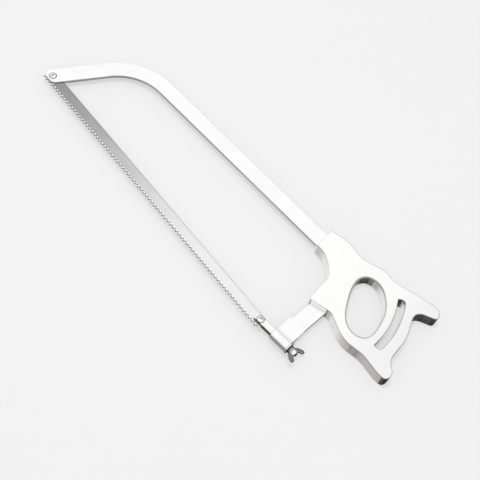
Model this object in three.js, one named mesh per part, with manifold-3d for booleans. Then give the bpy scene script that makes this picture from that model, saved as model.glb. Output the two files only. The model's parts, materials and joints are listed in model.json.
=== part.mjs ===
// A butcher saw lying on its side. A flat bar is bent into a bow with a handle cast on its rear bend.
// The blade is pinned between the slit nose of the bow and the fork of a tension rod, and a wing nut
// draws the rod through a barrel rolled on the end of the bow's rear leg.
// Millimetres. X runs along the blade from the nose to the handle, Y from the teeth to the bow, Z is up.

import * as THREE from "three";
import { mergeVertices } from "three/addons/utils/BufferGeometryUtils.js";
import Module from "manifold-3d";

// Clearances
const fitGap = 0.3; // around whatever passes through a hole, a slot or a tunnel
const seatGap = 0.1; // under heads and nuts, and between the strap and the bar

// Blade
const pinSpacing = 494; // nose pin to rear pin
const bladeNose = 9.6; // blade end past the nose pin
const bladeOverhang = 8; // blade end past the rear pin
const bladeThickness = 0.8;
const bladeBack = 7.9; // pin line to the back edge
const bladeTips = 11.1; // pin line to the tooth tips
const toothPitch = 6.35;
const toothDepth = 3.2;
const toothFace = 1.6; // how far a tip stands behind its gullet, along the blade

// Frame bar
const barWidth = 25;
const barThickness = 6;
const barEdge = 0.8; // rounded edges
const noseLegAngle = 65.2; // degrees, blade to nose leg
const noseLegLength = 138.5; // nose pin to the corner with the bow
const noseBend = 92; // centreline radius
const bowAngle = 4.2; // degrees, blade to bow, and the lean of the rear leg
const rearBend = 48; // centreline radius, inside the handle
const noseDrop = 8.6; // nose end below the pin
const noseFrontRound = 9.6;
const noseRearRound = 10;

// Pin screws and nuts
const screwShank = 6;
const screwHead = 10;
const screwHeadHeight = 2.4;
const screwDome = 0.8; // crown of the head above its rim
const driverSlotWidth = 1.6;
const driverSlotDepth = 1.3;
const noseSlotTurn = 100; // degrees, driver slot against the blade
const rearSlotTurn = 20;
const nutWidth = 10; // across flats
const nutSides = 6;
const nutHeight = 4;
const nutEdge = 0.6;
const screwTail = 1; // thread past the nut

// Tension rod
const rodTilt = 6; // degrees, blade to rod
const rodSize = 10;
const rodChamfer = 0.9;
const forkReach = 9; // fork end ahead of the rear pin
const forkRound = 2.5;
const forkRelief = 5; // fork slot past the blade end
const rodTravel = 4.25; // forward from tight to slack
const studDiameter = 6;
const studTail = 1.6; // thread past the wing nut

// Barrel strap
const barrelReach = 39.3; // rear pin to the middle of the barrel
const barrelLength = 28.4;
const strapThickness = 2;
const strapEdge = 0.4;
const strapReach = 32.4; // barrel axis to the ends of the tails on the leg
const strapNeck = 45; // hollow round between barrel and tails
const squareSetback = 9; // square end of the rod inside the barrel's rear end

// Washer and wing nut
const washerThickness = 2;
const washerLip = 2.6; // overlap on the barrel wall, past the bore
const hubWall = 2.8;
const hubTaper = 1.2; // hub radius lost from the seat to the top
const hubHeight = 11.3;
const hubRim = 3; // straight part of the hub at the seat
const wingThickness = 3.4;
const wingEdge = 1;
const wingTurn = -20; // degrees about the rod

// One wing: height above the seat, distance from the thread wall
const wingRoot = [[1.8, 0.6], [10.2, 0.6]]; // inside the hub
const wingOutline = [
  [2.4, 2.8], [5.2, 6.4], [9.6, 10], [14, 11.6], [17.2, 11], [17.6, 8], [14.2, 5], [10.8, 2.8],
];

// Handle, drawn from the corner where the bow and the rear leg would meet:
// first value along the bow towards the rear, second square to the bow, up
const gripThickness = 25;
const gripRound = 1.8;
const gripCorner = 1; // how much rounder than the edges the three sharp corners are
const gripFrontTop = [-72, 4.2]; // sharp corner, second value from the bar's upper edge
const gripTop = [ // second value from the bar's upper edge
  [-60, 7.9], [-48, 10], [-36, 10.3], [-12, 7.2], [4, 11.4], [24, 17.6], [41, 16.4], [60, 20], [80, 26],
  [100, 31], [112, 33],
];
const gripHorn = [
  [118.4, 43], [121.8, 39.4], [123.4, 35], [121.8, 31], [113, 26.2], [104.4, 21.6], [99.6, 15.5], [99.4, 8],
];
const gripRear = [
  [103.8, -1.9], [110.9, -15.5], [115.8, -31.1], [118.4, -50], [120.4, -60.5], [126, -69.3],
  [133.6, -74.6], [136.9, -79.6], [137.2, -86.4], [134, -91.4],
];
const gripLower = [
  [124, -92.8], [108, -91], [91, -89], [76, -90.8], [64, -92.3], [50, -90.4], [31, -82.8],
  [19, -78], [8, -79.9], [-3, -82.7],
];
const gripLegEnd = [4.2, -86]; // sharp corner, first value ahead of the leg's front edge
const gripThroat = [ // first value ahead of the leg's front edge
  [6.5, -67], [9.5, -45], [12.5, -38], [18.5, -31], [27.5, -24], [38, -18.9], [46, -17],
];
const gripFrontLow = [57, -16.1]; // sharp corner, first value ahead of the leg's front edge
const handHole = [
  [8.8, -7], [12, -25], [21.4, -43.5], [33.4, -61.2], [47, -72], [62, -73.9], [74, -68],
  [78.2, -56.5], [70.2, -22.5], [57.5, -4.6], [42.5, 5.8], [28.5, 8.7], [15.2, 4.6],
];
const slotMiddle = [90.3, -23]; // middle of the crescent slot
const slotRadius = 134.7; // its bend, hollow towards the hand hole
const slotLean = 17.7; // degrees, bow to the line from the bend's centre to the middle
const slotLength = 87.6; // along the bend
const slotWidth = 11;
const slotOuterRound = 6; // corners away from the hand hole
const slotInnerRound = 1.5;
const keyHole = 8; // holes in the bar that the handle is cast through
const keyOffset = 59; // key to the corner, on both arms

// Facets
const arcStep = 9; // degrees for a chord of a rounded corner
const roundFacets = 28;
const spanFacets = 3; // chords between two points of a drawn curve
const edgeFacets = 3; // steps over a rounded edge
const mergeDistance = 1e-4; // vertices closer than this are one

const wasm = await Module();
wasm.setup();

const rad = THREE.MathUtils.degToRad;
const heading = (degrees) => new THREE.Vector2(Math.cos(rad(degrees)), Math.sin(rad(degrees)));

// Places worked out from the driving dimensions
const halfBar = barWidth / 2;
const slit = bladeThickness + 2 * fitGap;
const pinHole = screwShank / 2 + fitGap;
const studHole = studDiameter / 2 + fitGap;
const legAngle = bowAngle - 90;
const rearPin = new THREE.Vector2(pinSpacing, 0);
const barrel = rearPin.clone().addScaledVector(heading(rodTilt), barrelReach);
const noseCorner = heading(noseLegAngle).multiplyScalar(noseLegLength);
const bowLength = barrel.clone().sub(noseCorner).dot(heading(bowAngle));
const rearCorner = noseCorner.clone().addScaledVector(heading(bowAngle), bowLength);
const boreRadius = Math.hypot(rodSize / 2, rodSize / 2 - rodChamfer) + fitGap;
const barrelEnd = barrelReach + barrelLength / 2;
const squareEnd = barrelEnd - squareSetback;
const washerSeat = barrelEnd + fitGap;
const nutSeat = washerSeat + washerThickness + fitGap;

// Closed solid of a geometry, with its shared vertices merged
function solid(geometry) {
  const bare = geometry.clone();
  bare.deleteAttribute("normal");
  bare.deleteAttribute("uv");
  const merged = mergeVertices(bare, mergeDistance);
  const index = merged.index.array;
  const triangles = [];
  for (let i = 0; i < index.length; i += 3) {
    const [a, b, c] = index.slice(i, i + 3);
    if (a !== b && b !== c && c !== a) triangles.push(a, b, c);
  }
  const mesh = new wasm.Mesh({
    numProp: 3,
    vertProperties: merged.attributes.position.array,
    triVerts: new Uint32Array(triangles),
  });
  return new wasm.Manifold(mesh);
}

// Geometry of a solid
function geometryOf(body) {
  const mesh = body.getMesh();
  const geometry = new THREE.BufferGeometry();
  geometry.setAttribute("position", new THREE.BufferAttribute(mesh.vertProperties, 3));
  geometry.setIndex(new THREE.BufferAttribute(mesh.triVerts, 1));
  geometry.computeVertexNormals();
  return geometry;
}

// Points of an arc that starts at a point and turns about a centre
function sweep(start, centre, turn) {
  const steps = Math.ceil(Math.abs(turn) / rad(arcStep));
  const at = (k) => start.clone().rotateAround(centre, (turn * k) / steps);
  return Array.from({ length: steps + 1 }, (_, k) => at(k));
}

// Outline of corners [x, y, radius], each rounded by an arc of short chords
function roundedOutline(corners) {
  return corners.flatMap(([x, y, radius], i) => {
    const tip = new THREE.Vector2(x, y);
    if (radius === 0) return [tip];
    const [beforeX, beforeY] = corners.at(i - 1);
    const [afterX, afterY] = corners[(i + 1) % corners.length];
    const arriving = new THREE.Vector2(x - beforeX, y - beforeY).normalize();
    const leaving = new THREE.Vector2(afterX - x, afterY - y).normalize();
    const turn = Math.atan2(arriving.cross(leaving), arriving.dot(leaving));
    const start = tip.addScaledVector(arriving, -radius * Math.tan(Math.abs(turn) / 2));
    const side = radius * Math.sign(turn);
    const centre = new THREE.Vector2(start.x - arriving.y * side, start.y + arriving.x * side);
    return sweep(start, centre, turn);
  });
}

// Smooth curve through hand-placed points
function smoothThrough(points, closed = false) {
  const places = points.map(([x, y]) => new THREE.Vector3(x, y, 0));
  const curve = new THREE.CatmullRomCurve3(places, closed, "centripetal");
  const spans = closed ? places.length : places.length - 1;
  const curvePoints = curve.getPoints(spans * spanFacets);
  return (closed ? curvePoints.slice(0, -1) : curvePoints).map(({ x, y }) => new THREE.Vector2(x, y));
}

// Circle as outline points
function circle(x, y, radius) {
  const start = new THREE.Vector2(x + radius, y);
  return sweep(start, new THREE.Vector2(x, y), 2 * Math.PI).slice(0, -1);
}

// Plate of an outline and its holes, centred on Z = 0, with its edges rounded inside the outline
function plate(outline, thickness, edge, holes = [], edgeSteps = 1) {
  const shape = new THREE.Shape(outline);
  shape.holes = holes.map((hole) => new THREE.Path(hole));
  const geometry = new THREE.ExtrudeGeometry(shape, {
    depth: thickness - 2 * edge,
    bevelEnabled: edge > 0,
    bevelThickness: edge,
    bevelSize: edge,
    bevelOffset: -edge,
    bevelSegments: edgeSteps,
  });
  return geometry.translate(0, 0, edge - thickness / 2);
}

// Solid of revolution about Z from a profile of [radius, height]
function turned(profile) {
  const points = profile.map(([radius, height]) => new THREE.Vector2(radius, height));
  return new THREE.LatheGeometry(points, roundFacets).rotateX(Math.PI / 2);
}

// Ring about Z from a profile that closes on itself
function turnedRing(profile) {
  return turned([...profile, profile[0]]);
}

// Round bar about Z
function roundBar(radius, bottom, top) {
  const geometry = new THREE.CylinderGeometry(radius, radius, top - bottom, roundFacets);
  return geometry.rotateX(Math.PI / 2).translate(0, 0, (top + bottom) / 2);
}

// Turns what is built about Z so that it lies along the rod, with its own X axis up
function alongRod(geometry) {
  return geometry.rotateY(Math.PI / 2);
}

// Straight line, moved to its own left by an offset
function line(point, degrees, offset = 0) {
  const moved = point.clone().addScaledVector(heading(degrees + 90), offset);
  return { point: moved, direction: heading(degrees) };
}

// Corner where two lines cross, with its rounding
function corner(a, b, radius) {
  const reach = b.point.clone().sub(a.point).cross(b.direction) / a.direction.cross(b.direction);
  const { x, y } = a.point.clone().addScaledVector(a.direction, reach);
  return [x, y, radius];
}

// Flat bar from the nose over the bow and down the rear leg to the barrel
function frameBar() {
  const legStop = barrel.clone().addScaledVector(heading(legAngle), -boreRadius - fitGap);
  const edges = (offset) => [
    line(new THREE.Vector2(), noseLegAngle, offset),
    line(noseCorner, bowAngle, offset),
    line(barrel, legAngle, offset),
  ];
  const [outerNose, outerBow, outerLeg] = edges(halfBar);
  const [innerNose, innerBow, innerLeg] = edges(-halfBar);
  const noseEnd = line(new THREE.Vector2(0, -noseDrop), 0);
  const legEnd = line(legStop, bowAngle);
  const outline = roundedOutline([
    corner(noseEnd, outerNose, noseFrontRound),
    corner(outerNose, outerBow, noseBend + halfBar),
    corner(outerBow, outerLeg, rearBend + halfBar),
    corner(outerLeg, legEnd, 0),
    corner(legEnd, innerLeg, 0),
    corner(innerLeg, innerBow, rearBend - halfBar),
    corner(innerBow, innerNose, noseBend - halfBar),
    corner(innerNose, noseEnd, noseRearRound),
  ]);
  let body = solid(plate(outline, barThickness, barEdge, [], edgeFacets)).subtract(solid(noseSlit()));
  const onBow = rearCorner.clone().addScaledVector(heading(bowAngle), -keyOffset);
  const onLeg = rearCorner.clone().addScaledVector(heading(legAngle), keyOffset);
  const holes = [[new THREE.Vector2(), pinHole], [onBow, keyHole / 2], [onLeg, keyHole / 2]];
  for (const [{ x, y }, radius] of holes) {
    body = body.subtract(solid(roundBar(radius, -barThickness, barThickness).translate(x, y, 0)));
  }
  return geometryOf(body);
}

// Space for the blade in the nose, from its back edge down past the nose end
function noseSlit() {
  const top = bladeBack + fitGap;
  const height = top + noseDrop + barWidth;
  const across = 2 * (barWidth + noseLegLength);
  return new THREE.BoxGeometry(across, height, slit).translate(0, top - height / 2, 0);
}

// Handle cast round the rear bend, keyed through the bar, in the frame of the bow and leg corner
function handle() {
  const fromTop = ([along, up]) => [along, up + halfBar];
  const fromLeg = ([ahead, up]) => [-halfBar - ahead, up];
  const back = smoothThrough([...gripTop.map(fromTop), ...gripHorn, ...gripRear, ...gripLower]);
  const throat = smoothThrough(gripThroat.map(fromLeg));
  const onCurve = ({ x, y }) => [x, y, 0];
  const round = gripRound + gripCorner;
  const outline = roundedOutline([
    [...fromTop(gripFrontTop), round],
    ...back.map(onCurve),
    [...fromLeg(gripLegEnd), round],
    ...throat.map(onCurve),
    [...fromLeg(gripFrontLow), round],
  ]);
  const holes = [smoothThrough(handHole, true), crescentSlot()];
  const body = solid(plate(outline, gripThickness, gripRound, holes, edgeFacets));
  return geometryOf(body.subtract(barTunnel()));
}

// Crescent slot behind the hand hole: an arc with square ends, rounder at their outer corners
function crescentSlot() {
  const centre = new THREE.Vector2(...slotMiddle).addScaledVector(heading(slotLean), -slotRadius);
  const span = slotLength / slotRadius;
  const low = heading(slotLean - THREE.MathUtils.radToDeg(span / 2));
  const side = (radius, round) => {
    const points = sweep(centre.clone().addScaledVector(low, radius), centre, span);
    const last = points.length - 1;
    return points.map(({ x, y }, i) => [x, y, i === 0 || i === last ? round : 0]);
  };
  return roundedOutline([
    ...side(slotRadius + slotWidth / 2, slotOuterRound),
    ...side(slotRadius - slotWidth / 2, slotInnerRound).reverse(),
  ]);
}

// Space that the bar takes up in the handle, less the two keys through the bar's holes
function barTunnel() {
  const half = halfBar + fitGap;
  const reach = 2 * keyOffset + barWidth;
  const outline = roundedOutline([
    [-reach, half, 0],
    [half, half, rearBend + half],
    [half, -reach, 0],
    [-half, -reach, 0],
    [-half, -half, rearBend - half],
    [-reach, -half, 0],
  ]);
  let tunnel = solid(plate(outline, barThickness + 2 * fitGap, 0));
  for (const [along, up] of [[-keyOffset, 0], [0, -keyOffset]]) {
    const key = roundBar(keyHole / 2 - fitGap, -barThickness, barThickness);
    tunnel = tunnel.subtract(solid(key.translate(along, up, 0)));
  }
  return tunnel;
}

// Toothed blade; its nose hole is long enough for the slack that the rod lets in
function blade() {
  const left = -bladeNose;
  const right = pinSpacing + bladeOverhang;
  const gullets = toothDepth - bladeTips;
  const teeth = Math.floor((right - left) / toothPitch);
  const outline = [new THREE.Vector2(left, bladeBack), new THREE.Vector2(left, gullets)];
  for (let tooth = 0; tooth < teeth; tooth += 1) {
    const root = left + tooth * toothPitch;
    outline.push(new THREE.Vector2(root + toothFace, -bladeTips));
    outline.push(new THREE.Vector2(root + toothPitch, gullets));
  }
  outline.push(new THREE.Vector2(right, gullets), new THREE.Vector2(right, bladeBack));
  const slack = heading(rodTilt).multiplyScalar(rodTravel);
  const start = heading(rodTilt + 90).multiplyScalar(pinHole);
  const end = slack.clone().sub(start);
  const noseHole = [...sweep(start, new THREE.Vector2(), Math.PI), ...sweep(end, slack, Math.PI)];
  const rearHole = circle(pinSpacing, 0, pinHole);
  return geometryOf(solid(plate(outline, bladeThickness, 0, [noseHole, rearHole])));
}

// Domed screw along Z through a grip of the given thickness, with its driver slot
function pinScrew(grip, slotTurn) {
  const seat = grip / 2 + seatGap;
  const crown = seat + screwHeadHeight;
  const tail = -seat - nutHeight - screwTail;
  const shaft = screwShank / 2;
  const rim = new THREE.Vector2(screwHead / 2, crown - screwDome);
  const domeRadius = (rim.x ** 2 + screwDome ** 2) / (2 * screwDome);
  const dome = sweep(rim, new THREE.Vector2(0, crown - domeRadius), Math.asin(rim.x / domeRadius));
  const profile = [[0, tail], [shaft, tail], [shaft, seat], [rim.x, seat], ...dome.map(({ x, y }) => [x, y])];
  const driverSlot = new THREE.BoxGeometry(2 * screwHead, driverSlotWidth, 2 * driverSlotDepth);
  driverSlot.rotateZ(rad(slotTurn)).translate(0, 0, crown);
  return geometryOf(solid(turned(profile)).subtract(solid(driverSlot)));
}

// Hexagon nut under a grip of the given thickness
function pinNut(grip) {
  const side = (2 * Math.PI) / nutSides;
  const spoke = new THREE.Vector2(nutWidth / 2 / Math.cos(side / 2), 0);
  const axis = new THREE.Vector2();
  const corners = Array.from({ length: nutSides }, (_, k) => spoke.clone().rotateAround(axis, k * side));
  const edge = Math.min(nutEdge, (nutWidth / 2 - pinHole - fitGap) / 2); // the wall keeps a flat top
  const body = plate(corners, nutHeight, edge, [circle(0, 0, pinHole)]);
  return geometryOf(solid(body.translate(0, 0, -grip / 2 - seatGap - nutHeight / 2)));
}

// Square rod with a forked front end and a threaded stud, along X from the rear pin
function tensionRod() {
  const half = rodSize / 2;
  const outline = roundedOutline([
    [-forkReach, -half, forkRound],
    [squareEnd, -half, 0],
    [squareEnd, half, 0],
    [-forkReach, half, forkRound],
  ]);
  const square = solid(plate(outline, rodSize, rodChamfer, [], edgeFacets));
  const stud = solid(alongRod(roundBar(studDiameter / 2, squareEnd - half, nutSeat + hubHeight + studTail)));
  const slotLength = forkReach + bladeOverhang + forkRelief;
  const forkSlot = new THREE.BoxGeometry(2 * slotLength, 2 * rodSize, slit);
  forkSlot.translate(bladeOverhang + forkRelief - slotLength, 0, 0);
  const hole = solid(roundBar(pinHole, -rodSize, rodSize));
  return geometryOf(square.add(stud).subtract(solid(forkSlot)).subtract(hole));
}

// Strap rolled round the rod, with a tail on each face of the leg, drawn as a section from the barrel axis
function barrelStrap() {
  const inside = barThickness / 2 + seatGap;
  const outside = inside + strapThickness;
  const ringRadius = boreRadius + strapThickness;
  const neckUp = outside + strapNeck;
  const neck = new THREE.Vector2(Math.sqrt((ringRadius + strapNeck) ** 2 - neckUp ** 2), neckUp);
  const neckTurn = Math.PI / 2 - neck.angle();
  const ringStart = neck.clone().setLength(ringRadius);
  const mouth = Math.asin(inside / boreRadius);
  const boreStart = new THREE.Vector2(boreRadius * Math.cos(mouth), -inside);
  const axis = new THREE.Vector2();
  const mirrored = ({ x, y }) => new THREE.Vector2(x, -y);
  const outline = [
    new THREE.Vector2(strapReach, inside),
    new THREE.Vector2(strapReach, outside),
    ...sweep(new THREE.Vector2(neck.x, outside), neck, -neckTurn),
    ...sweep(ringStart, axis, 2 * (Math.PI - neck.angle())).slice(1),
    ...sweep(mirrored(ringStart), mirrored(neck), -neckTurn).slice(1),
    new THREE.Vector2(strapReach, -outside),
    new THREE.Vector2(strapReach, -inside),
    ...sweep(boreStart, axis, -2 * (Math.PI - mouth)),
  ];
  return geometryOf(solid(plate(outline, barrelLength, strapEdge)));
}

// Flat washer on the barrel's rear end
function washer() {
  const outer = boreRadius + washerLip;
  const profile = [[studHole, 0], [outer, 0], [outer, washerThickness], [studHole, washerThickness]];
  return geometryOf(solid(turnedRing(profile)));
}

// Wing nut about Z from its seat
function wingNut() {
  const hub = studHole + hubWall;
  const top = hub - hubTaper;
  const profile = [[studHole, 0], [hub, 0], [hub, hubRim], [top, hubHeight], [studHole, hubHeight]];
  const [rootLow, rootHigh] = wingRoot;
  const outline = [rootLow, ...smoothThrough(wingOutline).map(({ x, y }) => [x, y]), rootHigh]
    .map(([height, out]) => new THREE.Vector2(studHole + out, height));
  let body = solid(turnedRing(profile));
  for (const turn of [0, Math.PI]) {
    const wing = plate(outline, wingThickness, wingEdge, [], edgeFacets).rotateX(Math.PI / 2);
    body = body.add(solid(wing.rotateZ(turn)));
  }
  return geometryOf(body);
}

const polishedBar = { color: 0xeceded, roughness: 0.2, metalness: 1 };
const castAluminium = { color: 0xefeeed, roughness: 0.26, metalness: 1 };
const bladeSteel = { color: 0xc4c5c7, roughness: 0.3, metalness: 1 };
const platedSteel = { color: 0xdedddb, roughness: 0.18, metalness: 1 };

// Named piece in its finish
function piece(name, geometry, finish) {
  const mesh = new THREE.Mesh(geometry, new THREE.MeshStandardMaterial(finish));
  mesh.name = name;
  return mesh;
}

const onCorner = new THREE.Group();
onCorner.position.set(rearCorner.x, rearCorner.y, 0);
onCorner.rotation.z = rad(bowAngle);
onCorner.add(piece("handle", handle(), castAluminium));

const onRod = new THREE.Group();
onRod.position.set(rearPin.x, rearPin.y, 0);
onRod.rotation.z = rad(rodTilt);
const sectionAcrossRod = new THREE.Matrix4().makeBasis(
  new THREE.Vector3(0, 1, 0),
  new THREE.Vector3(0, 0, 1),
  new THREE.Vector3(1, 0, 0),
);
const rolledStrap = barrelStrap().applyMatrix4(sectionAcrossRod).translate(barrelReach, 0, 0);
const turnedNut = alongRod(wingNut().rotateZ(rad(wingTurn + 90))).translate(nutSeat, 0, 0);
onRod.add(
  piece("tension_rod", tensionRod(), platedSteel),
  piece("rear_screw", pinScrew(rodSize, rearSlotTurn), platedSteel),
  piece("rear_nut", pinNut(rodSize), platedSteel),
  piece("barrel_strap", rolledStrap, polishedBar),
  piece("washer", alongRod(washer()).translate(washerSeat, 0, 0), platedSteel),
  piece("wing_nut", turnedNut, platedSteel),
);

const saw = new THREE.Group();
saw.add(
  piece("frame_bar", frameBar(), polishedBar),
  piece("blade", blade(), bladeSteel),
  piece("nose_screw", pinScrew(barThickness, noseSlotTurn), platedSteel),
  piece("nose_nut", pinNut(barThickness), platedSteel),
  onCorner,
  onRod,
);

// The origin is under the middle of the saw, on the surface it lies on
saw.updateMatrixWorld(true);
const extent = new THREE.Box3().setFromObject(saw, true);
const middle = extent.getCenter(new THREE.Vector3());
saw.position.set(-middle.x, -middle.y, -extent.min.z);

export default saw;
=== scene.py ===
"""Butcher saw lying on its side on a pale studio floor.

Each piece is modelled in millimetres at one of three stations of the saw, which are the nose pin, the rear
corner of the bow and the tension rod. It is then set into the frame in metres, in place of its solid.
"""

import json
import logging
import math
from collections.abc import Callable, Sequence
from dataclasses import dataclass
from enum import Enum
from typing import Any

import bpy
from mathutils import Matrix, Vector

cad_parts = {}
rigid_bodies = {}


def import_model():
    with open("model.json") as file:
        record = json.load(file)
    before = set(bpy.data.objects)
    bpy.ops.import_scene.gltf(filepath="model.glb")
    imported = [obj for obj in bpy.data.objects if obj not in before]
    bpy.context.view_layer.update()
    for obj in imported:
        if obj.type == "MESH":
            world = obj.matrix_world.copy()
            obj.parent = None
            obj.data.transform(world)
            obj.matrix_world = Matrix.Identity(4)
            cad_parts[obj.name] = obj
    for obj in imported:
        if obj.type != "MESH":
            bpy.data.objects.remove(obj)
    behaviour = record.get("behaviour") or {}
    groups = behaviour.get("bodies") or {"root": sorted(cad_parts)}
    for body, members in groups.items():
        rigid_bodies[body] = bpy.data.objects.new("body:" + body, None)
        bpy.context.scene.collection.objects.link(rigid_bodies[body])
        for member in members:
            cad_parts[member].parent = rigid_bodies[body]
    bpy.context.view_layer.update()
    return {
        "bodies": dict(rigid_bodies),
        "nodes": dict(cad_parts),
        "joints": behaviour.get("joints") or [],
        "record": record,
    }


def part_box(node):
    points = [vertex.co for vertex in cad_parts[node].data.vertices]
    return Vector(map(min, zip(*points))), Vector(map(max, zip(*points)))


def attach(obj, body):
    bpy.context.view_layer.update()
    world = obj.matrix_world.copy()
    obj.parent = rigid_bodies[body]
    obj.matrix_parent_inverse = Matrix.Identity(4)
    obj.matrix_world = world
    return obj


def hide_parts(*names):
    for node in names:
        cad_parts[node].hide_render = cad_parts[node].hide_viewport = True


log = logging.getLogger("butcher_saw")

Point = tuple[float, float]
Place = tuple[float, float, float]
Colour = tuple[float, float, float]
Outline = list[Vector]

MILLIMETRE = 0.001
ARC_STEP = 3.0  # degrees for a chord of an arc
SPAN_STEPS = 6  # chords between two points of a drawn curve
EDGE_STEPS = 5  # steps over a rounded edge
ROUND_SIDES = 96  # facets of a turned piece
SMOOTH_ANGLE = 32.0  # degrees, sharper edges stay crisp
FACE_WEIGHT = 80  # lead of large faces in the shading, 50 is none
TOUCH = 0.001  # places nearer than this are one, in the units of the piece
CLEAR = 1.0  # millimetres that a drill stands out of its hole
QUARTER = math.pi / 2


class Body(Enum):
    """Body of the frame that a piece moves with."""

    FRAME = "frame"
    WING_NUT = "wing_nut"
    CARRIAGE = "tension_carriage"


class Part(Enum):
    """Parts of a mesh that a step works on."""

    POINTS = "VERT"
    FACES = "FACE"


class Cut(Enum):
    """What one piece does to another when they are combined."""

    TAKE = "DIFFERENCE"
    JOIN = "UNION"
    KEEP = "INTERSECT"


# Drawing in plan


def heading(degrees: float) -> Vector:
    """Unit vector in plan at an angle from X."""
    return Vector((math.cos(math.radians(degrees)), math.sin(math.radians(degrees))))


def beside(point: Vector, degrees: float, offset: float) -> Vector:
    """Point moved to the left of a direction, or to its right by a negative offset."""
    return point + heading(degrees + 90) * offset


def flipped(point: Vector) -> Vector:
    """Point on the other side of the X axis."""
    return Vector((point.x, -point.y))


def arc(start: Vector, centre: Vector, turn: float) -> Outline:
    """Draws an arc in short chords.

    Args:
        start: first point of the arc.
        centre: point that the arc turns about.
        turn: angle in radians, positive to the left.

    Returns:
        The points from start to the end of the arc.
    """
    steps = max(2, math.ceil(abs(turn) / math.radians(ARC_STEP)))
    spoke = start - centre
    return [centre + Matrix.Rotation(turn * step / steps, 2) @ spoke for step in range(steps + 1)]


def circle(centre: Vector, radius: float) -> Outline:
    """Full circle as an outline."""
    return arc(centre + Vector((radius, 0)), centre, 2 * math.pi)[:-1]


def grown(outline: Outline, distance: float) -> Outline:
    """Moves an outline outwards, or inwards by a negative distance.

    Args:
        outline: the closed outline.
        distance: how far each side moves.

    Returns:
        The moved outline, with as many points.
    """
    ahead, behind = outline[1:] + outline[:1], outline[-1:] + outline[:-1]
    side = math.copysign(distance, distance * sum(a.cross(b) for a, b in zip(outline, ahead)))
    moved: Outline = []
    for before, point, after in zip(behind, outline, ahead):
        first, second = (point - before).normalized(), (after - point).normalized()
        square = Vector((first.y + second.y, -first.x - second.x))
        moved.append(point + square * (side / (1 + first.dot(second))))
    return moved


def rounded(corners: Sequence[tuple[Vector, float]]) -> Outline:
    """Draws an outline whose corners are rounded.

    Args:
        corners: places of the corners, each with its radius. A radius of 0 leaves the corner sharp.

    Returns:
        The points of the outline.
    """
    outline: Outline = []
    for index, (tip, radius) in enumerate(corners):
        if radius == 0:
            outline.append(tip)
            continue
        arriving = (tip - corners[index - 1][0]).normalized()
        leaving = (corners[(index + 1) % len(corners)][0] - tip).normalized()
        turn = math.atan2(arriving.cross(leaving), arriving.dot(leaving))
        start = tip - arriving * radius * math.tan(abs(turn) / 2)
        side = math.copysign(radius, turn)
        outline += arc(start, start + Vector((-arriving.y, arriving.x)) * side, turn)
    return outline


def smooth_through(points: Sequence[Point], closed: bool = False) -> Outline:
    """Draws a smooth curve through given points.

    Args:
        points: places that the curve passes through.
        closed: whether the curve comes back to its start.

    Returns:
        The points of the curve, SPAN_STEPS to each span.
    """
    places = [Vector(point) for point in points]
    if closed:
        ring = [places[-1], *places, places[0], places[1]]
    else:
        ring = [2 * places[0] - places[1], *places, 2 * places[-1] - places[-2]]
    curve: Outline = []
    for before, first, second, after in zip(ring, ring[1:], ring[2:], ring[3:]):
        spans = ((before, first), (first, second), (second, after))
        lead, span, trail = (math.sqrt((end - start).length) for start, end in spans)
        chord = (second - first) / span
        leaving = ((first - before) / lead - (second - before) / (lead + span) + chord) * span
        arriving = (chord - (after - first) / (span + trail) + (after - second) / trail) * span
        for step in range(SPAN_STEPS):
            t = step / SPAN_STEPS
            curve.append(
                first * (2 * t**3 - 3 * t**2 + 1)
                + leaving * (t**3 - 2 * t**2 + t)
                + second * (3 * t**2 - 2 * t**3)
                + arriving * (t**3 - t**2)
            )
    return curve if closed else [*curve, places[-1]]


def crossing(first: Vector, first_degrees: float, second: Vector, second_degrees: float) -> Vector:
    """Point where two lines cross, each given by a point and a direction."""
    along, across = heading(first_degrees), heading(second_degrees)
    return first + along * ((second - first).cross(across) / along.cross(across))


# The workbench


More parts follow.
